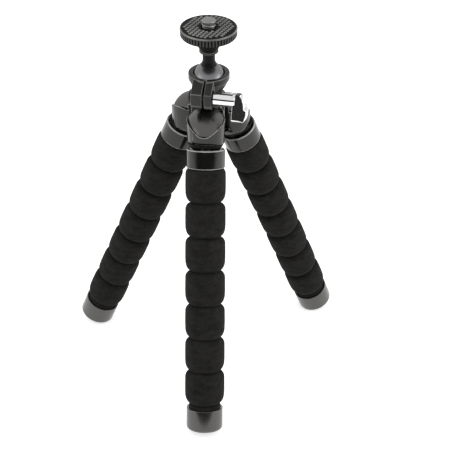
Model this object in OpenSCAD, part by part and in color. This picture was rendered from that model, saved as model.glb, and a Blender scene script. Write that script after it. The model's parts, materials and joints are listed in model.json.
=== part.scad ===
// Table-top tripod with three bendable foam-covered legs, a lockable ball head and a camera stud.
// Millimetres, Z up, feet standing on Z = 0, hub axis on Z, front leg towards -Y, +X to the right.

/* [Legs] */
// Largest diameter of the foam
foam_d = 18.4; // [17:0.1:19]
// Foam diameter at the bottom of a groove
groove_d = 13.2; // [12:0.1:14]
// Distance from one groove to the next
groove_pitch = 16; // [14.5:0.5:20]
// Height of the sharper shoulder under a groove
upper_shoulder = 2.7; // [1.5:0.1:3.5]
// Height of the longer shoulder above a groove
lower_shoulder = 4; // [2.5:0.1:4.5]
// Lean of a leg away from upright
leg_splay = 22.6; // [15:0.1:30]
// Sideways lean of the front leg at its ball
lean_front = 6.1; // [-15:0.1:20]
// Sideways lean of the left leg at its ball
lean_left = 20.1; // [-15:0.1:22]
// Sideways lean of the right leg at its ball
lean_right = 11; // [-15:0.1:20]
// Diameter of the bendable core wire
wire_d = 4.8; // [3:0.1:5.2]

/* [Leg ends] */
// Outside diameter of the cup on top of a leg
cup_d = 17.4; // [17:0.1:18.6]
// Length of the cup
cup_len = 8.6; // [8:0.1:12]
// Gap between a lobe's rim and the cup's rim
root_gap = 2.7; // [2.4:0.1:4]
// Outside diameter of a foot
foot_d = 17; // [16:0.1:18.4]
// Length of a foot
foot_len = 10.7; // [9:0.1:16]
// Rounding of a foot's bottom edge
foot_round = 1.6; // [0.6:0.1:2.6]
// Wall of a foot around the foam
foot_wall = 1.1; // [0.8:0.1:1.6]

/* [Leg joints] */
// Diameter of the ball on top of a leg
leg_ball_d = 8.8; // [8.2:0.1:9]
// Diameter of the neck under that ball
leg_neck_d = 4.8; // [3.6:0.1:4.8]
// Diameter of the friction pad over that ball
leg_seat_d = 4.8; // [4:0.1:4.8]
// Play of the foam balls in their hollows
bend_gap = 0.25; // [0.2:0.05:0.4]
// Play of the turning fits
run_gap = 0.06; // [0.04:0.01:0.08]

/* [Hub] */
// Turn of the three lobes about the hub axis
hub_turn = -7.2; // [-30:0.1:30]
// Radius of the circle of leg balls
pivot_circle_r = 11.9; // [11.6:0.1:13]
// Step of a lobe towards the hub axis from its leg ball
lobe_step = 0.8; // [0:0.1:1.2]
// Lobe diameter at its lower end
lobe_rim_d = 16.8; // [16.2:0.1:17]
// Lobe diameter at its upper end
lobe_top_d = 17.8; // [17:0.1:18.4]
// Tilt of a lobe's lower rim
rim_tilt = 19; // [14:0.5:22]
// Diameter of the dome that tops a lobe
dome_d = 19.6; // [19.2:0.1:19.8]
// Step of the dome's centre towards the hub axis from the leg ball
dome_step = 3; // [2.6:0.1:3.4]
// Height of the dome's centre over the leg ball
dome_height = 3; // [2:0.1:3.4]
// Width of the rim round the oval cap
lobe_rim_w = 0.5; // [0.4:0.1:1]
// Slit between that rim and the cap
cap_gap = 0.3; // [0.2:0.05:0.5]
// Slope of the notch in the lobe's wall that shows the cap
notch_slope = 38; // [30:0.5:44]
// Rounding at the bottom of that notch
notch_round = 5; // [3:0.1:7]
// Diameter of the column that carries the clamp
column_d = 15.6; // [14:0.1:16.4]

/* [Clamp] */
// Diameter of the head's ball
ball_d = 13.2; // [12.6:0.1:13.6]
// Outside diameter of the clamp's rim
collar_d = 18.6; // [18:0.1:20]
// Height of the rim band
band_h = 3; // [2:0.1:4]
// Height of the clamp's rim over the ball's centre
collar_lip = 1.6; // [1:0.1:1.9]
// Width of the relief round the ball inside the rim
relief_w = 0.45; // [0.1:0.05:1]
// Depth of that relief under the rim
relief_h = 1.4; // [0.5:0.1:2]
// Wall of the bowl round the ball
bowl_wall = 2.2; // [1.8:0.1:2.6]
// Height of the ball's centre over the hub
ball_height = 9.6; // [9.5:0.1:12]
// Turn of the clamp's ears about the hub axis
clamp_turn = -11; // [-40:1:40]
// Reach of the ear at the bolt's head from the middle of the slit
ear_left = 5.5; // [4.6:0.1:6]
// Reach of the ear at the lever from the middle of the slit
ear_right = 3.9; // [3.6:0.1:5.4]
// Reach of the ears from the hub axis
ears_reach = 14.5; // [14:0.1:17]
// Slit between the ears
ear_slit = 1; // [0.6:0.1:1.6]
// Distance of the bolt from the hub axis
bolt_r = 11.3; // [11:0.1:11.6]
// Depth of the bolt under the ball's centre
bolt_drop = 5.3; // [4.6:0.1:5.6]
// Diameter of the bolt
bolt_d = 4; // [3:0.1:4.2]

/* [Lock lever] */
// Diameter of the lever's barrel
barrel_d = 6.4; // [5.6:0.1:6.8]
// Length of the bare barrel
barrel_len = 8.8; // [5:0.1:10]
// Thickness of the paddle along the barrel
paddle_t = 5.2; // [4:0.1:7]
// Reach of the paddle below the bolt
paddle_reach = 7.8; // [7:0.1:11]
// Widening of the paddle on its outer side
paddle_flare = 1.6; // [0.5:0.1:3]
// Lead of the paddle's lower end to the front
paddle_lead = 3.4; // [0:0.1:4.6]
// Width of the washer under the lever
washer_t = 0.5; // [0.4:0.1:1]

/* [Camera plate] */
// Diameter of the plate
plate_d = 25.5; // [24:0.1:34]
// Thickness of the plate
plate_t = 4; // [3:0.1:6]
// Height of the plate's top over the ball's centre
plate_height = 23.7; // [22.5:0.1:30]
// Width of the lip round the pad
lip_w = 1.1; // [0.8:0.1:2]
// Depth of the pad's recess
pad_sink = 0.8; // [0.5:0.1:1.5]
// Rise of the pad over the lip
pad_rise = 0.6; // [0.2:0.1:1]
// Diameter of the boss under the plate
boss_d = 10.6; // [10:0.1:13]
// Diameter of the boss at its lower end
boss_end_d = 8.4; // [8.2:0.1:9.6]
// Length of the boss
boss_len = 7; // [5:0.1:7.2]
// Diameter of the stem
stem_d = 5.6; // [5:0.1:6]
// Thickness of the stop ring on the stem
ring_t = 0.9; // [0.6:0.1:1.4]
// Diameter of the camera stud, a quarter inch
stud_d = 6.35; // [6.3:0.01:6.4]
// Height of the stud over the pad
stud_len = 3; // [2.6:0.1:6]

/* [Hidden] */
$fn = 96;
leg_names = ["front", "left", "right"];
foam_count = 7;
black = [0.06, 0.06, 0.065];
dark = [0.13, 0.13, 0.135];
steel = [0.72, 0.72, 0.73];

foam_r = foam_d / 2;
groove_r = groove_d / 2;
wire_r = wire_d / 2;
wire_bore_r = wire_r + run_gap;
cup_r = cup_d / 2;
foot_r = foot_d / 2;
leg_ball_r = leg_ball_d / 2;
leg_neck_r = leg_neck_d / 2;
lobe_rim_r = lobe_rim_d / 2;
lobe_top_r = lobe_top_d / 2;
ball_r = ball_d / 2;
collar_r = collar_d / 2;
stud_r = stud_d / 2;
stem_r = stem_d / 2;
bolt_shaft_r = bolt_d / 2;

// a lobe, from the leg ball
lobe_drop = 3;
lobe_low = 8;
skirt_r = norm([lobe_rim_r, lobe_drop]);
skirt_start = 1;
lobe_len = 26;
lip_drop = 1.5;
socket_r = leg_ball_r + run_gap;
lip_r = sqrt(socket_r * socket_r - lip_drop * lip_drop);
ring_drop = 4.8;
ring_sink = 0.15;
ring_r = skirt_r - ring_sink;
ring_edge_w = 1;
flare_r = sqrt(ring_r * ring_r - ring_drop * ring_drop) - ring_edge_w;
recess_t = 0.8;
wall_rise = 1.2;
notch_lip = 0.3;
lobe_sink = 0.3;
seat_t = 0.55;
seat_top = leg_ball_r + seat_t;
cut_size = 80;
cut_lap = 1;

// distances down a leg from its ball
cup_top = lobe_drop + root_gap;
cup_clear = 0.3;
cup_hollow_r = skirt_r + cup_clear;
foam_top = cup_top + cup_len;
cup_floor_t = 1.6;
spigot_end = cup_hollow_r + cup_floor_t;
foot_lead = 2;
foot_top = foam_top + foam_count * groove_pitch + foot_lead;
foot_hold = 3;
wire_below = 2.5;
wire_hold = foot_hold + wire_below;
leg_len = foot_top + foot_len;
foot_bore_r = foot_r - foot_wall;
rim_drop = 1.7;
rim_w = 0.35;
foam_end_round = 0.9;
end_shoulder = 0.75 * upper_shoulder;

// heights
pivot_z = (leg_len - foot_round) * cos(leg_splay) + (foot_r - foot_round) * sin(leg_splay) + foot_round;
column_drop = 1;
column_z = pivot_z - column_drop;
hub_h = 15;
hub_top = pivot_z + hub_h;
ball_z = hub_top + ball_height;
plate_z = ball_z + plate_height;
screw_head_r = 3.6;
screw_head_h = 3;
screw_r = 2;
screw_skin = 1;
cover_lap = 0.6;
cover_r = screw_head_r + cover_lap;
cover_t = 1.2;

// head, from the ball's centre
ball_bore_r = ball_r + run_gap;
bowl_r = ball_bore_r + bowl_wall;
neck_r = 5.6;
neck_sink = 4;
seat_r = 4;
head_seat_t = 1;
seat_drop = ball_r + head_seat_t;
ears_w = ear_left + ear_right;
ear_below = 4.2;
ear_bottom = bolt_drop + ear_below;
ear_toe = 0.8;
toe_gap = 0.4;
ear_round = 2.6;
slit_stop = 1;
ear_front_top = 1.8;
ear_chamfer = 0.8;
ear_back = 1.2;
ring_lap = 0.2;
boss_bottom = plate_height - plate_t - boss_len;
stud_top = plate_height + pad_rise + stud_len;
spigot_r = 1.7;
spigot_len = 5;
stud_edge = 0.6;
shank_relief = 0.4;
pad_clear = 0.3;
shank_r = stud_r - shank_relief;
stem_in_boss = 1.5;
stem_top = boss_bottom + stem_in_boss;
bolt_head_t = 0.9;
bolt_head_w = 1.2;
bolt_in_paddle = 2;
bolt_tip = ear_right + washer_t + barrel_len + bolt_in_paddle;
bolt_end_gap = 0.3;
washer_w = 0.4;
paddle_step = 0.2;
paddle_half = 2.7;
paddle_edge = 1;
paddle_corner = 0.6;
slope_w = 3.6;
slope_h = 5.6;
flare_start = 0.45;
flare_end = 0.8;
// where the paddle's flat front starts on the round of its top, and that round's radius
front_turn = 110;
paddle_top_r = barrel_d / 2 + 2 * paddle_step;
front_fall = paddle_top_r * sin(front_turn) + paddle_reach - paddle_edge;
front_lead = paddle_half + paddle_lead + paddle_top_r * cos(front_turn);
paddle_lean = atan2(front_lead, front_fall);

lobe_az = [hub_turn, hub_turn - 120, hub_turn + 120];
leg_az = [lobe_az[0] + lean_front, lobe_az[1] + lean_left, lobe_az[2] + lean_right];

function curve(cx, cz, rx, rz, a0, a1, n) =
    [for (k = [0:n]) let (a = a0 + (a1 - a0) * k / n) [cx + rx * cos(a), cz + rz * sin(a)]];

// distance of groove k from the leg's ball
function groove_at(k) = foam_top + k * groove_pitch;

// hollow, rim and shoulder at the upper end of foam length k
function foam_upper(k) =
    let (g = groove_at(k - 1), hollow_r = groove_r + bend_gap, rim_r = hollow_r + rim_w)
    k == 1
    ? concat(
        [[wire_bore_r, -g]],
        curve(cup_r - end_shoulder, -g - upper_shoulder, foam_r - cup_r + end_shoulder,
            upper_shoulder, 90, 0, 5))
    : concat(
        curve(0, -g, hollow_r, hollow_r, -acos(wire_bore_r / hollow_r), -asin(rim_drop / hollow_r), 7),
        curve(rim_r, -g - rim_drop - upper_shoulder, foam_r - rim_r, upper_shoulder, 90, 0, 5));

// shoulder and ball at the lower end of foam length k
function foam_lower(k) =
    let (g = groove_at(k), neck = sqrt(groove_r * groove_r - rim_drop * rim_drop))
    k == foam_count
    ? concat(
        curve(groove_r, -g + lower_shoulder, foam_r - groove_r, lower_shoulder, 0, -90, 5),
        curve(foot_bore_r - foam_end_round, -g - foot_lead / 2, foam_end_round, foot_lead / 2, 90, 0, 3),
        [[foot_bore_r, -foot_top - foot_hold], [wire_bore_r, -foot_top - foot_hold]])
    : concat(
        curve(neck, -g + rim_drop + lower_shoulder, foam_r - neck, lower_shoulder, 0, -90, 5),
        curve(0, -g, groove_r, groove_r, asin(rim_drop / groove_r), -acos(wire_bore_r / groove_r), 8));

module at_pivot(i) {
    translate([0, 0, pivot_z]) rotate([0, 0, lobe_az[i]]) translate([0, -pivot_circle_r, 0]) children();
}

module along_leg(i) {
    at_pivot(i) rotate([0, 0, leg_az[i] - lobe_az[i]]) rotate([-leg_splay, 0, 0]) children();
}

// frame square to a lobe's lower rim
module at_rim(i) {
    at_pivot(i) rotate([-rim_tilt, 0, 0]) children();
}

// everything above a height, and everything below it
module above(z) {
    translate([-cut_size / 2, -cut_size / 2, z]) cube(cut_size);
}

module below(z) {
    translate([-cut_size / 2, -cut_size / 2, z - cut_size]) cube(cut_size);
}

// everything outside a lobe's dome, above the middle of that dome
module over_dome(i, grow) {
    difference() {
        above(pivot_z + dome_height);
        at_pivot(i) translate([0, dome_step, dome_height]) sphere(r = dome_d / 2 + grow);
    }
}

module lobe_barrel(i, inset) {
    at_pivot(i)
        translate([0, lobe_step, -lobe_low])
        cylinder(r1 = lobe_rim_r - inset, r2 = lobe_top_r - inset, h = lobe_len);
}

// hollow in a lobe's roof that takes its cap
module cap_room(i, inset) {
    intersection() {
        lobe_barrel(i, inset);
        over_dome(i, -recess_t);
    }
}

// rounded V cut outwards through a lobe's wall, in front of the cap
module wall_notch(i) {
    flank_x = notch_round * sin(notch_slope);
    flank_z = notch_round * (1 - cos(notch_slope));
    side = lobe_top_d;
    side_z = flank_z + (side - flank_x) * tan(notch_slope);
    at_pivot(i)
        translate([0, lobe_step + lobe_top_r / 2, dome_height + notch_lip])
        rotate([90, 0, 0])
        linear_extrude(cut_size)
        polygon(concat(
            curve(0, notch_round, notch_round, notch_round, -90 - notch_slope, -90 + notch_slope, 10),
            [[side, side_z], [side, cut_size], [-side, cut_size], [-side, side_z]]));
}

module lobe(i) {
    difference() {
        lobe_barrel(i, 0);
        over_dome(i, wall_rise);
        wall_notch(i);
        cap_room(i, lobe_rim_w);
        at_rim(i) below(-lobe_drop);
        at_pivot(i) difference() {
            below(-skirt_start);
            sphere(r = skirt_r);
        }
        above(hub_top - lobe_sink);
    }
}

module column(grow, top) {
    translate([0, 0, column_z]) cylinder(d = column_d + 2 * grow, h = top - column_z);
}

// ball socket open at the bottom, with a snap lip, and the hole for the friction pad
module socket(i) {
    flare = (flare_r - lip_r) / (ring_drop - lip_drop);
    flare_h = 2 * ring_drop - lip_drop / 2;
    at_pivot(i) sphere(r = socket_r);
    at_rim(i)
        translate([0, 0, -2 * ring_drop])
        cylinder(r1 = flare_r + flare * ring_drop, r2 = lip_r - flare * lip_drop / 2, h = flare_h);
    at_pivot(i) cylinder(d = leg_seat_d + 2 * run_gap, h = seat_top + run_gap);
}

module hub() {
    color(black) difference() {
        union() {
            for (i = [0:2]) lobe(i);
            column(0, hub_top);
        }
        for (i = [0:2]) socket(i);
        translate([0, 0, column_z - lobe_drop]) cylinder(r = screw_r, h = hub_top);
        translate([0, 0, hub_top - neck_sink]) cylinder(r = neck_r + run_gap, h = cut_size);
        translate([0, 0, column_z - cut_size]) cylinder(r = cover_r, h = cut_size + cover_t + screw_head_h);
    }
}

module lobe_caps() {
    color(dark) for (i = [0:2]) difference() {
        cap_room(i, lobe_rim_w + cap_gap);
        over_dome(i, 0);
        column(cap_gap, hub_top + cut_size);
        above(hub_top - lobe_sink);
    }
}

// rings under the lobes that keep the leg balls in
module socket_rings() {
    color(black) for (i = [0:2]) difference() {
        at_pivot(i) sphere(r = ring_r);
        at_rim(i) above(-lobe_drop);
        at_rim(i) below(-ring_drop);
        socket(i);
    }
}

module hub_screw() {
    color(steel) translate([0, 0, column_z + cover_t]) {
        cylinder(r = screw_head_r, h = screw_head_h);
        cylinder(r = screw_r, h = ball_z - seat_drop - screw_skin - column_z - cover_t);
    }
}

module hub_cover() {
    color(black) translate([0, 0, column_z]) cylinder(r = cover_r, h = cover_t);
}

module at_clamp() {
    translate([0, 0, ball_z]) rotate([0, 0, clamp_turn]) children();
}

module along_bolt() {
    at_clamp() translate([0, -bolt_r, -bolt_drop]) rotate([0, 90, 0]) children();
}

// side outline of the ears: distance from the hub axis, height
module ear_outline() {
    toe_bottom = ear_bottom + ear_toe;
    toe_r = column_d / 2 + toe_gap;
    polygon(concat(
        [[0, collar_lip], [collar_r - ear_back, collar_lip]],
        [[ears_reach - ear_chamfer, -ear_front_top], [ears_reach, -ear_front_top - ear_chamfer]],
        curve(ears_reach - ear_round, -toe_bottom + ear_round, ear_round, ear_round, 0, -90, 6),
        [[toe_r, -toe_bottom], [toe_r, -ear_bottom], [0, -ear_bottom]]));
}

module clamp_collar() {
    color(black) at_clamp() difference() {
        union() {
            translate([0, 0, collar_lip - band_h]) cylinder(r = collar_r, h = band_h);
            intersection() {
                sphere(r = bowl_r);
                translate([0, 0, -ball_height]) cylinder(r = collar_r, h = ball_height);
            }
            translate([0, 0, -ball_height - neck_sink]) cylinder(r = neck_r, h = ball_height + neck_sink);
            translate([ear_right, 0, 0])
                rotate([90, 0, -90])
                linear_extrude(ears_w)
                ear_outline();
        }
        sphere(r = ball_bore_r);
        translate([0, 0, -seat_drop - run_gap]) cylinder(r = seat_r + run_gap, h = seat_drop);
        cylinder(r = ball_bore_r, h = cut_size);
        translate([0, 0, collar_lip - relief_h]) cylinder(r = ball_bore_r + relief_w, h = cut_size);
        translate([-ear_slit / 2, -cut_size - seat_r - slit_stop, -cut_size / 2])
            cube([ear_slit, cut_size, cut_size]);
        translate([0, -bolt_r, -bolt_drop])
            rotate([0, 90, 0])
            cylinder(r = bolt_shaft_r, h = 2 * ears_w, center = true);
        translate([0, 0, -cut_size]) cylinder(r = screw_r, h = cut_size - seat_drop - screw_skin);
    }
}

module clamp_bolt() {
    color(steel) along_bolt() {
        translate([0, 0, -ear_left - bolt_head_t]) cylinder(r = bolt_shaft_r + bolt_head_w, h = bolt_head_t);
        translate([0, 0, -ear_left]) cylinder(r = bolt_shaft_r, h = ear_left + bolt_tip);
    }
}

module lever_washer() {
    color(steel) along_bolt() translate([0, 0, ear_right]) difference() {
        cylinder(r = barrel_d / 2 + washer_w, h = washer_t - run_gap);
        cylinder(r = bolt_shaft_r, h = cut_size, center = true);
    }
}

// paddle seen from the front: long rounded slope at the outer top, wider below
module paddle_front() {
    top = barrel_d / 2 + paddle_step;
    out = paddle_t + paddle_flare;
    polygon(concat(
        curve(paddle_t - slope_w, top - slope_h, slope_w, slope_h, 0, 90, 8),
        [[0, top]],
        curve(paddle_corner, -paddle_reach + paddle_corner, paddle_corner, paddle_corner, 180, 270, 3),
        [[paddle_t, -paddle_reach], [out, -paddle_reach * flare_end], [out, -paddle_reach * flare_start]]));
}

// paddle seen from the side: a flat front whose lower end leads forwards
module paddle_side() {
    edge = paddle_edge;
    low = -paddle_reach + edge;
    polygon(concat(
        curve(0, 0, paddle_top_r, paddle_top_r, 0, front_turn, 10),
        curve(-paddle_half - paddle_lead + edge, low, edge, edge, 180, 270, 3),
        curve(paddle_half - paddle_lead - edge, low, edge, edge, 270, 360, 3)));
}

// outer front edge of the paddle, cut off where the paddle widens
module paddle_bevel() {
    translate([paddle_t, paddle_top_r * cos(front_turn), paddle_top_r * sin(front_turn)])
        rotate([-paddle_lean, 0, 0])
        rotate([0, 0, -45])
        translate([0, -cut_size / 2, -cut_size / 2])
        cube(cut_size);
}

module lock_lever() {
    barrel_end = ear_right + washer_t + barrel_len;
    color(steel) at_clamp() translate([0, -bolt_r, -bolt_drop]) difference() {
        union() {
            translate([ear_right + washer_t, 0, 0])
                rotate([0, 90, 0])
                cylinder(d = barrel_d, h = barrel_len + cut_lap);
            intersection() {
                translate([barrel_end, barrel_d, 0])
                    rotate([90, 0, 0])
                    linear_extrude(2 * barrel_d)
                    paddle_front();
                translate([barrel_end - cut_lap, 0, 0])
                    rotate([90, 0, 90])
                    linear_extrude(paddle_t + paddle_flare + 2 * cut_lap)
                    paddle_side();
            }
        }
        translate([barrel_end, 0, 0]) paddle_bevel();
        rotate([0, 90, 0]) cylinder(r = bolt_shaft_r + run_gap, h = bolt_tip + bolt_end_gap);
    }
}

module ball_seat() {
    color(dark) translate([0, 0, ball_z]) difference() {
        translate([0, 0, -seat_drop]) cylinder(r = seat_r, h = seat_drop);
        sphere(r = ball_bore_r);
    }
}

module ball_stem() {
    color(steel) translate([0, 0, ball_z]) {
        sphere(r = ball_r);
        cylinder(r = stem_r, h = stem_top);
        cylinder(r = spigot_r, h = stem_top + spigot_len);
    }
}

module stop_ring() {
    color(dark) translate([0, 0, ball_z + boss_bottom - ring_t]) difference() {
        cylinder(d = boss_end_d + ring_lap, h = ring_t - run_gap);
        cylinder(r = stem_r, h = cut_size, center = true);
    }
}

module camera_screw() {
    color(steel) translate([0, 0, ball_z + stem_top]) difference() {
        rotate_extrude() polygon([
            [0, 0], [shank_r, 0],
            [shank_r, stud_top - stud_len + run_gap - stem_top],
            [stud_r, stud_top - stud_len + run_gap - stem_top],
            [stud_r, stud_top - stem_top - stud_edge],
            [stud_r - stud_edge, stud_top - stem_top],
            [0, stud_top - stem_top]]);
        translate([0, 0, -cut_lap]) cylinder(r = spigot_r, h = spigot_len + cut_lap);
    }
}

module camera_plate() {
    bore_r = shank_r + run_gap;
    plate_r = plate_d / 2;
    pad_r = plate_r - lip_w;
    chamfer = 0.35;
    boss_edge = 0.3;
    color(black) translate([0, 0, plate_z]) rotate_extrude() polygon([
        [bore_r, -pad_sink], [pad_r, -pad_sink], [pad_r, 0], [plate_r - chamfer, 0], [plate_r, -chamfer],
        [plate_r, -plate_t + chamfer], [plate_r - chamfer, -plate_t], [boss_d / 2 + boss_edge, -plate_t],
        [boss_d / 2, -plate_t - boss_edge], [boss_end_d / 2, -plate_t - boss_len],
        [bore_r, -plate_t - boss_len]]);
}

module plate_pad() {
    color(dark) translate([0, 0, plate_z - pad_sink]) difference() {
        cylinder(r = plate_d / 2 - lip_w, h = pad_sink + pad_rise);
        cylinder(r = stud_r + pad_clear, h = cut_size, center = true);
    }
}

module leg_seat(i) {
    color(dark) at_pivot(i) difference() {
        cylinder(d = leg_seat_d, h = seat_top);
        sphere(r = socket_r);
    }
}

module leg_ball(i) {
    color(steel) along_leg(i) {
        sphere(r = leg_ball_r);
        translate([0, 0, -spigot_end]) cylinder(r = leg_neck_r, h = spigot_end);
    }
}

module leg_cup(i) {
    color(black) along_leg(i) difference() {
        translate([0, 0, -foam_top]) cylinder(r = cup_r, h = cup_len);
        sphere(r = cup_hollow_r);
        translate([0, 0, -spigot_end]) cylinder(r = leg_neck_r, h = spigot_end);
        translate([0, 0, -foam_top - cut_lap])
            cylinder(r = wire_bore_r, h = foam_top + cut_lap - spigot_end);
    }
}

module core_wire(i) {
    color(steel) along_leg(i)
        translate([0, 0, -foot_top - wire_hold])
        cylinder(r = wire_r, h = foot_top + wire_hold - spigot_end);
}

module foam(i, k) {
    color(dark) along_leg(i) rotate_extrude() polygon(concat(foam_upper(k), foam_lower(k)));
}

module foot(i) {
    edge = 0.3;
    color(black) along_leg(i) rotate_extrude() polygon(concat(
        [[foot_bore_r, -foot_top], [foot_r - edge, -foot_top], [foot_r, -foot_top - edge]],
        curve(foot_r - foot_round, -leg_len + foot_round, foot_round, foot_round, 0, -90, 8),
        [[0, -leg_len], [0, -foot_top - wire_hold], [wire_bore_r, -foot_top - wire_hold],
            [wire_bore_r, -foot_top - foot_hold], [foot_bore_r, -foot_top - foot_hold]]));
}

camera_plate();
plate_pad();
camera_screw();
stop_ring();
ball_stem();
ball_seat();
clamp_collar();
clamp_bolt();
lever_washer();
lock_lever();
hub();
lobe_caps();
socket_rings();
hub_screw();
hub_cover();
for (i = [0:2]) {
    leg_seat(i);
    leg_ball(i);
    leg_cup(i);
    core_wire(i);
    for (k = [1:foam_count]) {
        foam(i, k);
    }
    foot(i);
}
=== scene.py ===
import json
import math
import bmesh
import bpy
from mathutils import Matrix, Vector


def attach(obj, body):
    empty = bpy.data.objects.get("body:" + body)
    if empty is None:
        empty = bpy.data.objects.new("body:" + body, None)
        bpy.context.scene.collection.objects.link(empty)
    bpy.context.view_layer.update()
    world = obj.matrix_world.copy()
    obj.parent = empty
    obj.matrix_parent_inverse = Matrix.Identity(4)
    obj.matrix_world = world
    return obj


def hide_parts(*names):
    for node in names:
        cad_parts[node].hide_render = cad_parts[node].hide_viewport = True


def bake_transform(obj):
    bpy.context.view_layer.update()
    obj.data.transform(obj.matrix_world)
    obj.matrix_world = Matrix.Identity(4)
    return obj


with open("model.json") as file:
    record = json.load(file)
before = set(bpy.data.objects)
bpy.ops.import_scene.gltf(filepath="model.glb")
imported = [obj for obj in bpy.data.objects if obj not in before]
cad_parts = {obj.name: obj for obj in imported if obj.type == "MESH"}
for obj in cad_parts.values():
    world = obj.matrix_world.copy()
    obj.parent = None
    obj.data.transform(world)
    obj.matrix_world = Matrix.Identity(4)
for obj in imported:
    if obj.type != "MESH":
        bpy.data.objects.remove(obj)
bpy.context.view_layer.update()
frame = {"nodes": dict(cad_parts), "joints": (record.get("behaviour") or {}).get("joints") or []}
scene = bpy.context.scene
mm = 0.001
legNames = ("front", "left", "right")
joints = {j["name"]: j for j in frame["joints"]}
print("frame loaded:", len(frame["nodes"]), "nodes")


class Sock:  # an output that can be used in sums
    def __init__(self, tree, socket):
        self.tree = tree
        self.socket = socket

    def math(self, operation, *terms):
        return self.tree.add("ShaderNodeMath", {"operation": operation}, dict(enumerate(terms)))

    def __add__(self, other):
        return self.math("ADD", self, other)

    def __radd__(self, other):
        return self.math("ADD", other, self)

    def __sub__(self, other):
        return self.math("SUBTRACT", self, other)

    def __rsub__(self, other):
        return self.math("SUBTRACT", other, self)

    def __mul__(self, other):
        return self.math("MULTIPLY", self, other)

    def __rmul__(self, other):
        return self.math("MULTIPLY", other, self)

    def __pow__(self, other):
        return self.math("POWER", self, other)

    def atLeast(self, other):
        return self.math("MAXIMUM", self, other)

    def atMost(self, other):
        return self.math("MINIMUM", self, other)

    def below(self, other):
        return self.math("LESS_THAN", self, other)


class Tree:
    def __init__(self, tree):
        self.tree = tree

    def add(self, kind, settings=None, sockets=None, out=0):
        node = self.tree.nodes.new(kind)
        for key, value in (settings or {}).items():
            if key == "stops":  # a ramp's places and greys
                ramp = node.color_ramp
                while len(ramp.elements) < len(value):
                    ramp.elements.new(1)
                for element, (place, shade) in zip(ramp.elements, value):
                    element.position = place
                    element.color = (shade, shade, shade, 1)
            else:
                setattr(node, key, value)
        for key, value in (sockets or {}).items():
            self.put(node.inputs[key], value)
        self.last = node
        return Sock(self, node.outputs[out]) if len(node.outputs) else None

    def put(self, target, value):
        if isinstance(value, Sock):
            self.tree.links.new(value.socket, target)
        elif isinstance(value, tuple) and target.type == "RGBA" and len(value) == 3:
            target.default_value = (*value, 1)
        else:
            target.default_value = value

    def also(self, out):  # another output of the node that was added last
        return Sock(self, self.last.outputs[out])

    def vector(self, x=0.0, y=0.0, z=0.0):
        return self.add("ShaderNodeCombineXYZ", None, {"X": x, "Y": y, "Z": z})


class Finish(Tree):
    def __init__(self, name):
        self.material = bpy.data.materials.new(name)
        self.material.use_nodes = True
        super().__init__(self.material.node_tree)
        self.tree.nodes.clear()
        self.place = self.add("ShaderNodeTexCoord", out="Object")

    def noise(self, scale, detail=2.0, rough=0.5, stretch=None):
        where = self.place
        if stretch:
            where = self.add("ShaderNodeMapping", None, {"Vector": where, "Scale": stretch})
        return self.add("ShaderNodeTexNoise", None, {
            "Vector": where, "Scale": scale, "Detail": detail, "Roughness": rough})

    def ramp(self, value, stops):
        return self.add("ShaderNodeValToRGB", {"stops": stops}, {"Fac": value})

    def mixColour(self, amount, one, two):
        return self.add("ShaderNodeMix", {"data_type": "RGBA"}, {0: amount, 6: one, 7: two}, out=2)

    def bump(self, height, strength, distance):
        return self.add("ShaderNodeBump", None, {
            "Height": height, "Strength": strength, "Distance": distance})

    def surface(self, **sockets):
        named = {key.replace("_", " "): value for key, value in sockets.items()}
        shader = self.add("ShaderNodeBsdfPrincipled", None, named)
        self.add("ShaderNodeOutputMaterial", None, {"Surface": shader})
        return self.material


foamLook = {"colour": (0.0072, 0.0070, 0.0063), "paleColour": (0.0225, 0.0220, 0.0198), "poreSize": 1500,
            "cellSize": 2300, "patchSize": 210, "patchStretch": (1.0, 1.0, 2.2), "patchShare": 0.65,
            "poreDepth": 0.00016, "poreStrength": 0.6, "roughness": 0.95, "specular": 0.10, "sheen": 0.015,
            "sheenRoughness": 0.6}


def foamFinish():
    f = Finish("foamSkin")
    share = foamLook["patchShare"]
    cells = f.add("ShaderNodeTexVoronoi", {"feature": "F1"}, {
        "Vector": f.place, "Scale": foamLook["cellSize"]})
    pores = f.noise(foamLook["poreSize"], 3.0, 0.6)
    patches = f.noise(foamLook["patchSize"], 4.0, 0.65, foamLook["patchStretch"])
    amount = f.ramp(patches * share + pores * (1 - share), [(0.34, 0.0), (0.66, 1.0)])
    shade = f.mixColour(amount, foamLook["colour"], foamLook["paleColour"])
    normal = f.bump(cells * 0.5 + pores * 0.8, foamLook["poreStrength"], foamLook["poreDepth"])
    return f.surface(Base_Color=shade, Roughness=foamLook["roughness"], Normal=normal,
                     Specular_IOR_Level=foamLook["specular"], Sheen_Weight=foamLook["sheen"],
                     Sheen_Roughness=foamLook["sheenRoughness"])


moulded = {"cloudSize": 90.0, "markSize": 260.0, "markStretch": (1.0, 0.35, 1.0), "markShare": 0.6,
           "grainDepth": 0.00005, "glossTint": (1.0, 0.985, 0.94)}  # the blacks shine a little warm
metal = {"cloudSize": 140.0, "lineDepth": 0.00002}


def mouldedFinish(name, look):
    # black moulded or painted surface: fine grain, cloudy gloss and faint handling marks
    f = Finish(name)
    grain = f.noise(look["grain"], 2.0, 0.5)
    clouds = f.noise(moulded["cloudSize"], 3.0, 0.55)
    scuffs = f.noise(moulded["markSize"], 4.0, 0.7, moulded["markStretch"])
    marks = f.ramp(scuffs, [(0.58, 0.0), (0.80, 1.0)])
    spread = look["spread"]
    rough = look["roughness"] + (clouds - 0.5) * spread + marks * (moulded["markShare"] * spread)
    shade = f.mixColour(f.ramp(clouds, [(0.35, 0.0), (0.7, 1.0)]), look["colour"], look["paleColour"])
    normal = f.bump(grain, look["bump"], moulded["grainDepth"])
    return f.surface(Base_Color=shade, Roughness=rough, Normal=normal, IOR=look["ior"],
                     Specular_Tint=moulded["glossTint"])


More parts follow.
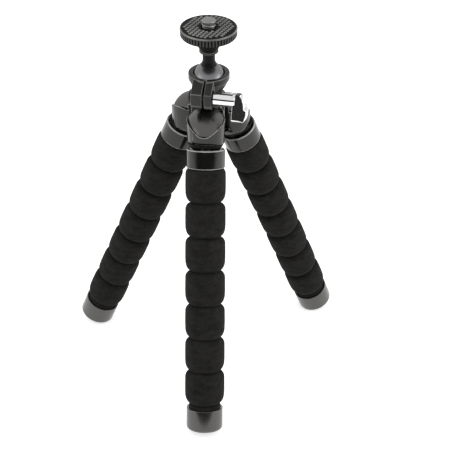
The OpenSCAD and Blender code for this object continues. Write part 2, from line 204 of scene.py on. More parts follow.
def metalFinish(name, look):
    f = Finish(name)
    lines = f.noise(look["grain"], 2.0, 0.5, look["stretch"])
    clouds = f.noise(metal["cloudSize"], 2.0, 0.5)
    rough = look["roughness"] + (lines - 0.5) * look["spread"] + (clouds - 0.5) * look["spread"]
    shade = f.mixColour(clouds, look["colour"], look["paleColour"])
    normal = f.bump(lines, look["bump"], metal["lineDepth"])
    return f.surface(Base_Color=shade, Roughness=rough, Metallic=1.0, Normal=normal)


hubLook = {"colour": (0.004, 0.004, 0.0038), "paleColour": (0.007, 0.007, 0.0067), "grain": 900.0,
           "roughness": 0.17, "spread": 0.10, "bump": 0.05, "ior": 1.47}
capLook = {"colour": (0.003, 0.003, 0.0032), "paleColour": (0.006, 0.006, 0.0064), "grain": 1200.0,
           "roughness": 0.27, "spread": 0.12, "bump": 0.05, "ior": 1.95}
collarLook = {"colour": (0.005, 0.005, 0.0047), "paleColour": (0.013, 0.013, 0.0123), "grain": 1600.0,
              "roughness": 0.36, "spread": 0.18, "bump": 0.20, "ior": 1.40}
stemLook = {"colour": (0.003, 0.003, 0.003), "paleColour": (0.006, 0.006, 0.006), "grain": 1600.0,
            "roughness": 0.40, "spread": 0.12, "bump": 0.10, "ior": 1.22}
# near-black matt used as painted shade: the pad's base between its pillows, the collar's bore round the
# ball, the socket rings
shadeMattLook = {"colour": (0.003, 0.003, 0.003), "paleColour": (0.006, 0.006, 0.006), "grain": 1800.0,
            "roughness": 0.7, "spread": 0.10, "bump": 0.10, "ior": 1.25}
footLook = {"colour": (0.006, 0.0058, 0.0055), "paleColour": (0.011, 0.0107, 0.0101), "grain": 1400.0,
            "roughness": 0.18, "spread": 0.08, "bump": 0.10, "ior": 1.8}
plateLook = {"colour": (0.004, 0.004, 0.0038), "paleColour": (0.008, 0.008, 0.0077), "grain": 1800.0,
             "roughness": 0.45, "spread": 0.16, "bump": 0.14, "ior": 1.16}
# the knurl's ribs are a paler copy of the plate's black: a painted highlight on the ribs against the darker
# gaps
knurlHighlightLook = {"colour": (0.012, 0.012, 0.0115), "paleColour": (0.028, 0.0277, 0.0268), "grain": 1800.0,
             "roughness": 0.35, "spread": 0.14, "bump": 0.10, "ior": 1.45}
padLook = {"colour": (0.15, 0.148, 0.143), "paleColour": (0.25, 0.247, 0.239), "grain": 2600.0,
           "roughness": 0.55, "spread": 0.16, "bump": 0.25, "ior": 1.45}
linerLook = {"colour": (0.10, 0.10, 0.10), "paleColour": (0.14, 0.14, 0.14), "grain": 1500.0,
             "roughness": 0.5, "spread": 0.1, "bump": 0.1, "ior": 1.45}
# paler copies of the blacks for rounded edges: partly rubbed wear, partly a painted highlight where the
# edges catch light
hubWornHighlightEdgeLook = {**hubLook, "colour": (0.22, 0.22, 0.211), "paleColour": (0.55, 0.545, 0.523)}
collarWornHighlightEdgeLook = {**collarLook, "colour": (0.06, 0.06, 0.0575), "paleColour": (0.24, 0.238, 0.228)}
plateWornHighlightEdgeLook = {**plateLook, "colour": (0.09, 0.09, 0.086), "paleColour": (0.28, 0.277, 0.266)}
chromeLook = {"colour": (0.74, 0.74, 0.75), "paleColour": (0.84, 0.84, 0.85), "grain": 700.0,
              "stretch": (1.0, 1.0, 1.0), "roughness": 0.08, "spread": 0.05, "bump": 0.02}
ballLook = {"colour": (0.17, 0.17, 0.175), "paleColour": (0.26, 0.26, 0.27), "grain": 800.0,
            "stretch": (1.0, 1.0, 1.0), "roughness": 0.32, "spread": 0.12, "bump": 0.04}
studLook = {"colour": (0.20, 0.20, 0.195), "paleColour": (0.32, 0.32, 0.31), "grain": 1500.0,
            "stretch": (1.0, 1.0, 1.0), "roughness": 0.38, "spread": 0.12, "bump": 0.06}
wireLook = {"colour": (0.62, 0.62, 0.63), "paleColour": (0.72, 0.72, 0.72), "grain": 1200.0,
            "stretch": (1.0, 1.0, 0.1), "roughness": 0.4, "spread": 0.1, "bump": 0.05}

finishes = {
    "foam": foamFinish(),
    "hub": mouldedFinish("hubGloss", hubLook),
    "cap": mouldedFinish("capGloss", capLook),
    "collar": mouldedFinish("collarSatin", collarLook),
    "stem": mouldedFinish("stemBlack", stemLook),
    "matt": mouldedFinish("ringMatt", shadeMattLook),
    "foot": mouldedFinish("footSatin", footLook),
    "plate": mouldedFinish("plateSatin", plateLook),
    "pad": mouldedFinish("padRubber", padLook),
    "knurl": mouldedFinish("knurlSatin", knurlHighlightLook),
    "liner": mouldedFinish("linerPlastic", linerLook),
    "hubEdge": mouldedFinish("hubRubbedEdge", hubWornHighlightEdgeLook),
    "collarEdge": mouldedFinish("collarRubbedEdge", collarWornHighlightEdgeLook),
    "plateEdge": mouldedFinish("plateRubbedEdge", plateWornHighlightEdgeLook),
    "chrome": metalFinish("chromePlate", chromeLook),
    "ball": metalFinish("ballSteel", ballLook),
    "stud": metalFinish("studSteel", studLook),
    "wire": metalFinish("coreWire", wireLook),
}
print("finishes made:", len(finishes))


def makePiece(name, bm, finish, sharp=35):
    mesh = bpy.data.meshes.new(name)
    bmesh.ops.recalc_face_normals(bm, faces=bm.faces)
    bm.to_mesh(mesh)
    bm.free()
    smoothed(mesh, sharp)
    paint(mesh, finish)
    piece = bpy.data.objects.new(name, mesh)
    scene.collection.objects.link(piece)
    return piece


def paint(mesh, finish):
    # the second slot is for the faces of rounded edges, painted paler: partly rubbed wear, partly a painted
    # highlight where the edges catch light
    mesh.materials.append(finishes[finish])
    if finish + "Edge" in finishes:
        mesh.materials.append(finishes[finish + "Edge"])
    else:
        mesh.polygons.foreach_set("material_index", [0] * len(mesh.polygons))


def smoothed(mesh, sharp):
    mesh.polygons.foreach_set("use_smooth", [True] * len(mesh.polygons))
    mesh.set_sharp_from_angle(angle=math.radians(sharp))


def flatten(piece, sharp):
    # modifiers become plain mesh
    ready = bpy.context.evaluated_depsgraph_get()
    mesh = bpy.data.meshes.new_from_object(piece.evaluated_get(ready), depsgraph=ready)
    piece.modifiers.clear()
    old = piece.data
    piece.data = mesh
    bpy.data.meshes.remove(old)
    mesh.name = piece.name
    smoothed(mesh, sharp)


def rounded(points, steps=5):
    # corners given as (r, z, fillet) become short arcs
    made = []
    for k, point in enumerate(points):
        here = Vector(point[:2])
        fillet = point[2] if len(point) > 2 else 0
        if not fillet:
            made.append(tuple(here))
            continue
        before = (Vector(points[k - 1][:2]) - here).normalized()
        after = (Vector(points[(k + 1) % len(points)][:2]) - here).normalized()
        turn = before.angle(after)
        reach = fillet / math.tan(turn / 2)
        centre = here + (before + after).normalized() * fillet / math.sin(turn / 2)
        start, end = here + before * reach - centre, here + after * reach - centre
        for n in range(steps + 1):
            made.append(tuple(centre + start.lerp(end, n / steps).normalized() * fillet))
    return made


def arc(cr, cz, rr, rz, fromDeg, toDeg, steps):
    turns = [math.radians(fromDeg + (toDeg - fromDeg) * n / steps) for n in range(steps + 1)]
    return [(cr + rr * math.cos(a), cz + rz * math.sin(a)) for a in turns]


edgeStep = 0.00013  # shorter steps in an outline belong to a rounded edge


def revolved(profile, place, segments=96):
    # a closed outline of (r, z) in millimetres, turned about the place's own Z axis
    bm = bmesh.new()
    turns = [2 * math.pi * k / segments for k in range(segments)]
    rings = []
    for r, z in profile:
        if r < 1e-6:
            rings.append([bm.verts.new(place @ Vector((0, 0, z * mm)))] * segments)
        else:
            spots = [Vector((r * math.cos(a), r * math.sin(a), z)) * mm for a in turns]
            rings.append([bm.verts.new(place @ spot) for spot in spots])
    for one, two in zip(rings, rings[1:] + rings[:1]):
        step = (one[0].co - two[0].co).length
        for k in range(segments):
            corners = [one[k], one[(k + 1) % segments], two[(k + 1) % segments], two[k]]
            corners = [v for n, v in enumerate(corners) if v not in corners[:n]]
            if len(corners) > 2:
                # faces along the short steps of a rounded edge take the paler slot: rubbed wear and painted
                # highlight
                bm.faces.new(corners).material_index = int(step < edgeStep)
    return bm


softEdges = {"merge": 0.06, "flat": 0.5, "steps": 3, "sharp": 32}


def smoothCopy(node, name, finish, bevel, crease):
    # a merged copy of a CAD node with its flat faces joined again and its edges softened
    bm = bmesh.new()
    bm.from_mesh(frame["nodes"][node].data)
    bmesh.ops.remove_doubles(bm, verts=bm.verts, dist=softEdges["merge"] * mm)
    bmesh.ops.dissolve_limit(bm, angle_limit=math.radians(softEdges["flat"]), verts=bm.verts, edges=bm.edges)
    piece = makePiece(name, bm, finish, softEdges["sharp"])
    soften = piece.modifiers.new("softEdges", "BEVEL")
    soften.width = bevel * mm
    soften.segments = softEdges["steps"]
    soften.use_clamp_overlap = False
    soften.limit_method = "ANGLE"
    soften.angle_limit = math.radians(crease)
    # the bevel's faces take the paler edge slot: rubbed wear and painted highlight
    soften.material = len(piece.data.materials) - 1
    flatten(piece, softEdges["sharp"])
    return piece


def reshade(piece, lean):
    # each corner gets the normal that lean makes from its place and its own normal
    mesh = piece.data
    ways = [lean(mesh.vertices[loop.vertex_index].co, corner.vector).normalized()
            for loop, corner in zip(mesh.loops, mesh.corner_normals)]
    mesh.normals_split_custom_set(ways)


def paintShadeInside(piece, axisAt, radius):
    # faces close round an upright axis turn matt black, a painted shade in the bore round the ball
    mesh = piece.data
    mesh.materials.append(finishes["matt"])
    for face in mesh.polygons:
        if all((mesh.vertices[v].co - axisAt).xy.length < radius * mm for v in face.vertices):
            face.material_index = len(mesh.materials) - 1


class Shape(Tree):  # a Geometry Nodes tree with named sizes
    def __init__(self, name, sizes):
        super().__init__(bpy.data.node_groups.new(name, "GeometryNodeTree"))
        self.sizes = sizes
        for key, value in sizes.items():
            kind = "NodeSocketInt" if isinstance(value, int) else "NodeSocketFloat"
            self.tree.interface.new_socket(key, in_out="INPUT", socket_type=kind)
        self.tree.interface.new_socket("Geometry", in_out="OUTPUT", socket_type="NodeSocketGeometry")
        self.inputs = self.tree.nodes.new("NodeGroupInput")

    def size(self, key):
        return Sock(self, self.inputs.outputs[key])

    def build(self, name, geometry, finish, place, sharp=35):
        real = self.add("GeometryNodeRealizeInstances", None, {0: geometry})
        painted = self.add("GeometryNodeSetMaterial", None, {"Geometry": real, "Material": finishes[finish]})
        self.add("NodeGroupOutput", None, {0: painted})
        piece = bpy.data.objects.new(name, bpy.data.meshes.new(name + "Seed"))
        scene.collection.objects.link(piece)
        grow = piece.modifiers.new(name, "NODES")
        grow.node_group = self.tree
        for item in self.tree.interface.items_tree:
            if item.in_out == "INPUT":
                grow[item.identifier] = self.sizes[item.name]
        flatten(piece, sharp)
        piece.data.transform(place)
        piece.data.materials.clear()
        piece.data.materials.append(finishes[finish])
        return piece


def settle(piece, body, slot, *nodes):
    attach(piece, body)
    if nodes:
        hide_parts(*nodes)


# places that the joints give
ballAt = Vector(joints["head_tilt"]["pos_m"])
headPlace = Matrix.Translation(ballAt)
plateTop = (joints["plate_spin"]["pos_m"][2] - ballAt.z) / mm


def legPlace(leg):
    # origin at the leg's ball, Z up along the leg
    top = Vector(joints["swing_" + leg]["pos_m"])
    up = (top - Vector(joints["bend_%s_1" % leg]["pos_m"])).normalized()
    side = Vector(joints["bend_%s_1" % leg]["axis"]).normalized()
    return Matrix.Translation(top) @ Matrix((side, up.cross(side), up)).transposed().to_4x4()


foam = {"radius": 9.2, "crown": 0.06, "crownHalf": 1.5, "neck": 6.55, "neckHalf": 0.25, "pitch": 16.0,
        "top": 14.3, "upperShoulder": 2.85, "lowerShoulder": 4.6, "bore": 2.46, "bendReach": 4.6, "count": 7,
        "topStep": 0.5, "endRound": 0.9, "endGap": 0.1, "sides": 72, "sharp": 50}
cup = {"radius": 8.7, "top": 5.7, "length": 8.6, "hollow": 9.22, "floor": 1.6, "neck": 2.4,
       "rimRound": 0.5, "baseRound": 0.4}
foot = {"radius": 8.5, "length": 10.7, "wall": 1.1, "lead": 2.0, "hold": 3.0, "wireHold": 5.5,
        "baseRound": 1.6, "rimRound": 0.3}
wire = {"radius": 2.4, "sides": 24, "ringStep": 0.9}

foamEnd = foam["top"] + foam["count"] * foam["pitch"]
footTop = foamEnd + foot["lead"]


def grooveAt(k):
    return foam["top"] + k * foam["pitch"]


def foamOutline(fromS, toS):
    # outside of the foam between two distances down the leg, top first
    wide, neck, half = foam["radius"], foam["neck"], foam["neckHalf"]
    upperRise, lowerRise = foam["upperShoulder"], foam["lowerShoulder"]
    points = []
    for k in range(1, foam["count"] + 1):
        upper, lower = grooveAt(k - 1), grooveAt(k)
        if k == 1:
            corner = upperRise - foam["topStep"]
            points += arc(wide - corner, upper + upperRise, corner, upperRise, -90, 0, 8)
        else:
            points += arc(neck, upper + half + upperRise, wide - neck, upperRise, -90, 0, 8)
        middle, reach = (upper + lower) / 2, foam["crownHalf"]
        points += [(wide + foam["crown"], middle + step) for step in (-reach, 0.0, reach)]
        points += arc(neck, lower - half - lowerRise, wide - neck, lowerRise, 0, 90, 9)
        points += [(neck, lower)]
    return [p for p in points if fromS - 1e-6 <= p[1] <= toS + 1e-6]


def ringsBetween(fromS, toS):
    count = max(2, int((toS - fromS) / wire["ringStep"]))
    return [fromS + (toS - fromS) * n / count for n in range(count + 1)]


def foamLength(leg, k, place):
    # one length of foam from mid-bulge to mid-bulge, round groove k
    last = k == foam["count"] - 1
    fromS = foam["top"] if k == 1 else grooveAt(k) - foam["pitch"] / 2
    outline = foamOutline(fromS, foamEnd if last else grooveAt(k) + foam["pitch"] / 2)
    if last:  # it goes on into the foot
        inFoot, half, turn = foot["radius"] - foot["wall"], foot["lead"] / 2, foam["endRound"]
        outline = outline[:-1] + arc(inFoot - turn, foamEnd + half + foam["endGap"], turn, half, -90, 0, 4)
        outline.append((inFoot, footTop + foot["hold"]))
    bore = [(foam["bore"], s) for s in ringsBetween(outline[0][1], outline[-1][1])]
    profile = [(r, -s) for r, s in outline + bore[::-1]]
    sleeve = revolved(profile, place, foam["sides"])
    return makePiece("foamSleeve_%s_%d" % (leg, k), sleeve, "foam", foam["sharp"])


def wireLength(leg, k, place):
    fromS = cup["hollow"] + cup["floor"] if k == 1 else grooveAt(k) - foam["pitch"] / 2
    toS = footTop + foot["wireHold"] if k == foam["count"] - 1 else grooveAt(k) + foam["pitch"] / 2
    outline = [(0, -fromS)] + [(wire["radius"], -s) for s in ringsBetween(fromS, toS)] + [(0, -toS)]
    return makePiece("coreWire_%s_%d" % (leg, k), revolved(outline, place, wire["sides"]), "wire")


def buildLeg(leg):
    place = legPlace(leg)
    down = -(place.to_3x3() @ Vector((0, 0, 1)))
    for k in range(1, foam["count"]):
        start = place.translation + down * (grooveAt(k) - foam["bendReach"]) * mm
        end = place.translation + down * (grooveAt(k) + foam["bendReach"]) * mm
        skin = foamLength(leg, k, place)
        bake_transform(skin)
        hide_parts("foam_%s_%d" % (leg, k + 1))
        core = wireLength(leg, k, place)
        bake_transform(core)
        if k == 1:
            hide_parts("foam_%s_1" % leg)
            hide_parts("core_wire_" + leg)

    hollow, rimDown, baseDown = cup["hollow"], cup["top"], cup["top"] + cup["length"]
    rimIn = math.sqrt(hollow * hollow - rimDown * rimDown)
    shell = rounded([(foam["bore"], -baseDown), (cup["radius"], -baseDown, cup["baseRound"]),
                     (cup["radius"], -rimDown, cup["rimRound"]), (rimIn, -rimDown)], 8)
    bowl = arc(0, 0, hollow, hollow, -math.degrees(math.acos(rimIn / hollow)),
               -math.degrees(math.acos(cup["neck"] / hollow)), 12)
    under = -(hollow + cup["floor"])
    outline = shell[:-1] + bowl + [(cup["neck"], under), (foam["bore"], under)]
    settle(makePiece("legCup_" + leg, revolved(outline, place), "hub"), "upper_" + leg, "black_gloss",
           "leg_cup_" + leg)

    base, wireEnd = footTop + foot["length"], footTop + foot["wireHold"]
    inner = foot["radius"] - foot["wall"]
    outline = rounded([(0, -base), (foot["radius"], -base, foot["baseRound"]),
                       (foot["radius"], -footTop, foot["rimRound"]), (inner, -footTop, foot["rimRound"]),
                       (inner, -footTop - foot["hold"]), (foam["bore"], -footTop - foot["hold"]),
                       (foam["bore"], -wireEnd), (0, -wireEnd)], 6)
    settle(makePiece("legFoot_" + leg, revolved(outline, place), "foot"), "leg_%s_7" % leg, "black_satin",
           "foot_" + leg)


for legName in legNames:
    buildLeg(legName)
print("legs built")


plate = {"radius": 12.75, "thick": 4.0, "lip": 1.1, "edge": 0.5, "padSink": 0.8, "padRise": 0.6,
         "rimSink": 0.65, "rimTop": 0.65, "rimRound": 0.1, "rimSlope": 0.2, "boss": 5.3, "bossRound": 1.2,
         "bossLength": 7.0, "bossEnd": 4.2, "bossSteps": ((0.5, 1.6), (0.25, 1.35)), "endRound": 0.3,
         "bore": 2.835}
knurl = {"count": 54, "width": 0.84, "height": 3.0, "drop": 2.1, "stand": 0.12, "sides": 12}
headSides = 120

underPlate = plateTop - plate["thick"]
bossBottom = underPlate - plate["bossLength"]
padTop = plateTop + plate["padRise"]


def headTurned(name, outline, finish, slot, body, *nodes):
    piece = makePiece(name, revolved(outline, headPlace, headSides), finish)
    settle(piece, body, slot, *nodes)
    return piece


def raised(height):
    return headPlace @ Matrix.Translation((0, 0, height * mm))


def buildPlate():
    inner, outer = plate["radius"] - plate["lip"], plate["radius"]
    rim = outer - plate["rimSink"]
    neckDown = plateTop - plate["rimTop"]
    bossSteps = [(plate["bossEnd"] + out, bossBottom + up) for out, up in plate["bossSteps"]]
    outline = rounded([
        (plate["bore"], plateTop - plate["padSink"]), (inner, plateTop - plate["padSink"]),
        (inner, plateTop), (outer, plateTop, plate["edge"]),
        (outer, neckDown, plate["rimRound"]), (rim, neckDown - plate["rimSlope"]),
        (rim, underPlate), (plate["boss"], underPlate, plate["bossRound"]), *bossSteps,
        (plate["bossEnd"], bossBottom, plate["endRound"]), (plate["bore"], bossBottom)], 8)
    headTurned("cameraPlate", outline, "plate", "dark_metal", "head_plate", "camera_plate")

    # the ribs take the paler knurl finish, a painted highlight against the rim's dark gaps
    grow = Shape("rimKnurl", {"Count": knurl["count"], "Radius": (rim + knurl["stand"]) * mm,
                              "Width": knurl["width"] * mm, "Height": knurl["height"] * mm})
    ring = grow.add("GeometryNodeCurvePrimitiveCircle", {"mode": "RADIUS"}, {"Radius": grow.size("Radius")})
    places = grow.add("GeometryNodeCurveToPoints", {"mode": "COUNT"}, {0: ring, "Count": grow.size("Count")})
    bar = grow.add("GeometryNodeMeshCylinder", None, {
        "Vertices": knurl["sides"], "Radius": grow.size("Width") * 0.5, "Depth": grow.size("Height")})
    ribs = grow.add("GeometryNodeInstanceOnPoints", None, {"Points": places, "Instance": bar})
    piece = grow.build("plateKnurl", ribs, "knurl", raised(plateTop - knurl["drop"]))
    settle(piece, "head_plate", "dark_metal")


padBlocks = {"columns": 13, "rows": 15, "across": 1.85, "along": 1.7, "width": 1.75, "length": 1.5,
             "height": 1.0, "turn": 28.0, "clear": 4.3, "margin": 0.1, "least": 0.5, "cornerShare": 0.4,
             "bore": 3.475, "baseRound": 0.2}


def buildPad():
    edge, base = plate["radius"] - plate["lip"], padTop - padBlocks["height"] / 2
    outline = rounded([(padBlocks["bore"], plateTop - plate["padSink"]), (edge, plateTop - plate["padSink"]),
                       (edge, base, padBlocks["baseRound"]), (padBlocks["bore"], base)], 4)
    # the pad's base and sides are painted near-black, a painted shade between and below the paler pillows
    headTurned("platePad", outline, "matt", "pad_rubber", "head_plate", "plate_pad")

    # rows of small pillows, cut short at the pad's edge and kept off the stud
    grow = Shape("padPillows", {
        "Columns": padBlocks["columns"], "Rows": padBlocks["rows"], "Across": padBlocks["across"] * mm,
        "Along": padBlocks["along"] * mm, "Width": padBlocks["width"] * mm,
        "Length": padBlocks["length"] * mm, "Height": padBlocks["height"] * mm,
        "Edge": (edge - padBlocks["margin"]) * mm, "Clear": padBlocks["clear"] * mm,
        "Least": padBlocks["least"] * mm})
    grid = grow.add("GeometryNodeMeshGrid", None, {
        "Size X": (grow.size("Columns") - 1.0) * grow.size("Across"),
        "Size Y": (grow.size("Rows") - 1.0) * grow.size("Along"),
        "Vertices X": grow.size("Columns"), "Vertices Y": grow.size("Rows")})
    spot = grow.add("GeometryNodeInputPosition")
    x = grow.add("ShaderNodeSeparateXYZ", None, {0: spot}, "X")
    y = grow.also("Y")
    outer = x.math("ABSOLUTE", x) + grow.size("Width") * padBlocks["cornerShare"]
    reach = (grow.size("Edge") ** 2.0 - outer * outer).atLeast(0.0) ** 0.5
    low = (y - grow.size("Length") * 0.5).atLeast(reach * -1.0)
    high = (y + grow.size("Length") * 0.5).atMost(reach)
    unwanted = (high - low).below(grow.size("Least")) + (x * x + y * y).below(grow.size("Clear") ** 2.0)
    kept = grow.add("GeometryNodeDeleteGeometry", {"domain": "POINT"}, {
        "Geometry": grid, "Selection": unwanted})
    cube = grow.add("GeometryNodeMeshCube", None, {"Size": (1.0, 1.0, 1.0)})
    pillow = grow.add("GeometryNodeSubdivisionSurface", None, {"Mesh": cube, "Level": 1})
    placed = grow.add("GeometryNodeInstanceOnPoints", None, {
        "Points": kept, "Instance": pillow,
        "Scale": grow.vector(grow.size("Width"), high - low, grow.size("Height"))})
    shifted = grow.add("GeometryNodeTranslateInstances", None, {
        "Instances": placed, "Local Space": False,
        "Translation": grow.vector(0.0, (low + high) * 0.5 - y, 0.0)})
    turn = Matrix.Rotation(math.radians(-padBlocks["turn"]), 4, "Z")
    settle(grow.build("padPillows", shifted, "pad", raised(base) @ turn), "head_plate", "pad_rubber")


stud = {"radius": 3.175, "core": 2.5, "top": 3.0, "edge": 0.5, "tipRound": 0.2, "crest": 0.55,
        "crestSlope": 1.6, "crestRound": 0.1, "shank": 2.775, "shankDrop": 0.2, "shankRound": 0.1,
        "spigot": 1.7, "spigotLength": 5.0, "stemInBoss": 1.5, "pitch": 1.27, "thread": 2.68, "tooth": 0.42,
        "threadLow": 0.35, "sharp": 50}
stemTop = bossBottom + stud["stemInBoss"]
spigotTop = stemTop + stud["spigotLength"]


def buildStud():
    tip, core, crest = padTop + stud["top"], stud["core"], stud["crest"]
    outline = rounded([(stud["spigot"], stemTop), (stud["shank"], stemTop),
                       (stud["shank"], padTop - stud["shankDrop"], stud["shankRound"]),
                       (core, padTop), (core, tip - stud["crestSlope"] * crest),
                       (stud["radius"], tip - crest, stud["crestRound"]),
                       (stud["radius"] - stud["edge"], tip, stud["tipRound"]), (0, tip),
                       (0, spigotTop), (stud["spigot"], spigotTop)], 3)
    headTurned("cameraStud", outline, "stud", "steel", "head_stem", "camera_screw")

    turns = (stud["top"] - stud["threadLow"] - 2 * crest) / stud["pitch"]
    grow = Shape("studThread", {"Turns": turns, "Radius": stud["thread"] * mm, "Tooth": stud["tooth"] * mm,
                                "Height": turns * stud["pitch"] * mm})
    path = grow.add("GeometryNodeCurveSpiral", None, {
        "Resolution": 64, "Rotations": grow.size("Turns"), "Start Radius": grow.size("Radius"),
        "End Radius": grow.size("Radius"), "Height": grow.size("Height")})
    tooth = grow.add("GeometryNodeCurvePrimitiveCircle", {"mode": "RADIUS"}, {
        "Resolution": 6, "Radius": grow.size("Tooth")})
    thread = grow.add("GeometryNodeCurveToMesh", None, {
        "Curve": path, "Profile Curve": tooth, "Fill Caps": True})
    piece = grow.build("studThread", thread, "stud", raised(padTop + stud["threadLow"]), stud["sharp"])
    settle(piece, "head_stem", "steel")


ball = {"radius": 6.6, "stem": 2.8, "skirt": 0.9, "skirtSink": 0.8, "skirtEdge": 0.1,
        "flare": ((0.5, 0.8), (0.15, 1.6), (0.0, 2.6)), "ring": 4.3, "ringThick": 0.9, "ringGap": 0.06,
        "ringRound": 0.25, "lean": 0.5}


def buildBall():
    radius, stem = ball["radius"], ball["stem"]
    skirtR = stem + ball["skirt"]
    topDeg = math.degrees(math.acos(skirtR / radius))
    skirtZ = radius * math.sin(math.radians(topDeg))
    outline = arc(0, 0, radius, radius, -90, topDeg, 40) + [(0, skirtZ)]
    piece = headTurned("headBall", outline, "ball", "ball_steel", "head_stem", "ball_stem")
    # its normals lean up, so that more of the ball mirrors the bright surround above the camera
    reshade(piece, lambda at, way: way + Vector((0, 0, ball["lean"])))

    skirtLow = skirtZ - ball["skirtSink"]
    outline = [(0, skirtLow), (skirtR, skirtLow), (skirtR, skirtZ + ball["skirtEdge"])]
    outline += [(stem + out, skirtZ + up) for out, up in ball["flare"]]
    outline += [(stem, stemTop), (stud["spigot"], stemTop), (stud["spigot"], spigotTop), (0, spigotTop)]
    headTurned("headStem", outline, "stem", "dark_metal", "head_stem")

    low, high, turn = bossBottom - ball["ringThick"], bossBottom - ball["ringGap"], ball["ringRound"]
    outline = rounded([(stem, low), (ball["ring"], low, turn), (ball["ring"], high, turn), (stem, high)], 4)
    headTurned("stopRing", outline, "plate", "dark_metal", "head_stem", "stop_ring")


buildPlate()
buildPad()
buildStud()
buildBall()
print("head built")


def dress(node, name, finish, body, slot, sizes):
    piece = smoothCopy(node, name, finish, sizes["bevel"], sizes["crease"])
    settle(piece, body, slot, node)
    return piece


collar = {"bevel": 0.22, "crease": 14, "room": 7.25}
piece = dress("clamp_collar", "clampCollar", "collar", "hub_body", "dark_metal", collar)
# the collar's bore round the ball is painted matt black as shade
paintShadeInside(piece, ballAt, collar["room"])

lever = {"bevel": 0.3, "crease": 32, "elbowFrom": 11.5, "flatLean": 21.0, "flatShare": 0.1,
         "mostBack": 0.2, "mostSide": 0.6, "mostDown": 0.2}
leverLean = math.radians(lever["flatLean"])
leverFront = Vector((0, -math.cos(leverLean), math.sin(leverLean)))


def leverShade(at, way):
    # the front of the elbow looks as flat as the paddle below it
    turnedOff = way.y > lever["mostBack"] or way.x > lever["mostSide"] or way.z < -lever["mostDown"]
    if at.x < lever["elbowFrom"] * mm or turnedOff:
        return way
    return leverFront + way * lever["flatShare"]


reshade(dress("lock_lever", "lockLever", "chrome", "lever", "chrome", lever), leverShade)

hub = {"bevel": 0.3, "crease": 32}
dress("hub", "hubLobes", "hub", "hub_body", "black_gloss", hub)

lobeCap = {"bevel": 0.12, "crease": 32, "lean": 0.5}
legAxes = [legPlace(leg).to_3x3() @ Vector((0, 0, 1)) for leg in legNames]


def capShade(at, way):
    # a lobe's cap looks like a flatter dome, so its normals lean towards its own leg's axis
    axis = min(legAxes, key=lambda a: a.x * at.x + a.y * at.y)
    return way + axis * lobeCap["lean"] if way.z > 0 else way


reshade(dress("lobe_caps", "lobeCaps", "cap", "hub_body", "black_gloss", lobeCap), capShade)

# the socket rings are matt near-black and fill the gap under each lobe, standing in for its shaded crescent
socketRing = {"bevel": 0.12, "crease": 32}
dress("socket_rings", "socketRings", "matt", "hub_body", "black_satin", socketRing)

# CAD nodes that keep their own shape
nodeFinish = {"clamp_bolt": "collar", "lever_washer": "collar", "hub_screw": "stud", "hub_cover": "foot",
              "ball_seat": "liner"}
for legName in legNames:
    nodeFinish["leg_seat_" + legName] = "liner"
    nodeFinish["leg_ball_" + legName] = "stud"
for node, finish in nodeFinish.items():
    data = frame["nodes"][node].data
    data.materials.clear()
    data.materials.append(finishes[finish])
print("clamp and hub dressed")


view = {"target": (7.17, 0.0, 74.2), "distance": 629.87, "pitch": 34.62, "lens": 104.32, "sensor": 36.0,
        "near": 0.01, "far": 100.0}
stage = {"floorSize": 30.0, "floorColour": (0.93, 0.93, 0.93), "floorPale": (0.95, 0.95, 0.95),
         "floorCloud": 40.0, "floorGlow": 0.5, "sky": 0.92, "frontSky": 0.03, "sideEdge": 0.25,
         "sideFade": 2.5, "darkTop": 0.46, "topFade": 10.0, "lampAim": (0.0, 0.0, 0.1)}
lamps = {
    "frontSoft": {"at": (-0.10, -0.75, 1.05), "size": (1.3, 0.8), "watts": 1.2, "mirrored": False},
    "leftSoft": {"at": (-1.15, -0.25, 0.62), "size": (0.9, 0.8), "watts": 2.6, "mirrored": True},
    "rightSoft": {"at": (1.15, -0.25, 0.62), "size": (0.9, 0.8), "watts": 4.6, "mirrored": True},
}


def buildCamera():
    cam = bpy.data.objects.new("photoCamera", bpy.data.cameras.new("photoCamera"))
    scene.collection.objects.link(cam)
    tilt = math.radians(view["pitch"])
    back = Vector((0, -math.cos(tilt), math.sin(tilt)))
    cam.location = (Vector(view["target"]) + back * view["distance"]) * mm
    cam.rotation_euler = (math.pi / 2 - tilt, 0, 0)
    cam.data.sensor_width = view["sensor"]
    cam.data.lens = view["lens"]
    cam.data.clip_start, cam.data.clip_end = view["near"], view["far"]
    scene.camera = cam


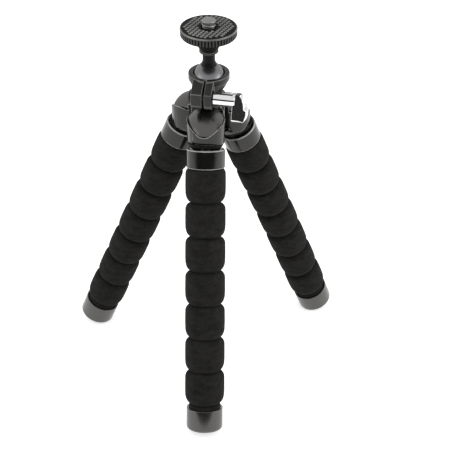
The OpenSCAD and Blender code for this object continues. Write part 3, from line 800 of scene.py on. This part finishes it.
def buildFloor():
    # a pale floor with a plain white glow for the camera and in mirrors; it still takes the shadow
    f = Finish("paleFloor")
    shade = f.mixColour(f.noise(stage["floorCloud"]), stage["floorColour"], stage["floorPale"])
    seen = f.add("ShaderNodeLightPath", None, None, "Is Camera Ray")
    mirrored, through = f.also("Is Glossy Ray"), f.also("Is Transmission Ray")
    plain = f.add("ShaderNodeBsdfDiffuse", None, {"Color": shade})
    glow = f.add("ShaderNodeEmission", None, {
        "Color": (1, 1, 1), "Strength": (seen + mirrored + through).atMost(1.0) * stage["floorGlow"]})
    both = f.add("ShaderNodeAddShader", None, {0: plain, 1: glow})
    f.add("ShaderNodeOutputMaterial", None, {"Surface": both})
    bm = bmesh.new()
    bmesh.ops.create_grid(bm, x_segments=8, y_segments=8, size=stage["floorSize"])
    mesh = bpy.data.meshes.new("paleFloor")
    bm.to_mesh(mesh)
    bm.free()
    mesh.materials.append(f.material)
    floor = bpy.data.objects.new("paleFloor", mesh)
    scene.collection.objects.link(floor)


def buildWorld():
    # a bright soft surround, dark only low in front where the camera stands;
    # the camera itself sees it bright
    world = bpy.data.worlds.new("studio")
    world.use_nodes = True
    scene.world = world
    tree = Tree(world.node_tree)
    world.node_tree.nodes.clear()
    way = tree.add("ShaderNodeTexCoord", out="Generated")
    tree.add("ShaderNodeSeparateXYZ", None, {0: way}, "X")
    y, z = tree.also("Y"), tree.also("Z")
    seen = tree.add("ShaderNodeLightPath", None, None, "Is Camera Ray")
    ahead = ((y * -1.0 - stage["sideEdge"]) * stage["sideFade"]).atLeast(0.0).atMost(1.0)
    under = ((stage["darkTop"] - z) * stage["topFade"]).atLeast(0.0).atMost(1.0)
    level = stage["sky"] - ahead * under * (1.0 - seen) * (stage["sky"] - stage["frontSky"])
    glow = tree.add("ShaderNodeBackground", None, {"Color": (1, 1, 1), "Strength": level})
    tree.add("ShaderNodeOutputWorld", None, {"Surface": glow})


def buildLamps():
    for name, lamp in lamps.items():
        data = bpy.data.lights.new(name, "AREA")
        data.shape = "RECTANGLE"
        data.size, data.size_y = lamp["size"]
        data.energy = lamp["watts"]
        obj = bpy.data.objects.new(name, data)
        obj.location = lamp["at"]
        aim = Vector(stage["lampAim"]) - obj.location
        obj.rotation_euler = aim.to_track_quat("-Z", "Y").to_euler()
        obj.visible_camera = False
        obj.visible_glossy = lamp["mirrored"]
        scene.collection.objects.link(obj)


buildCamera()
buildFloor()
buildWorld()
buildLamps()
scene.view_settings.view_transform = "Standard"
print("stage set")
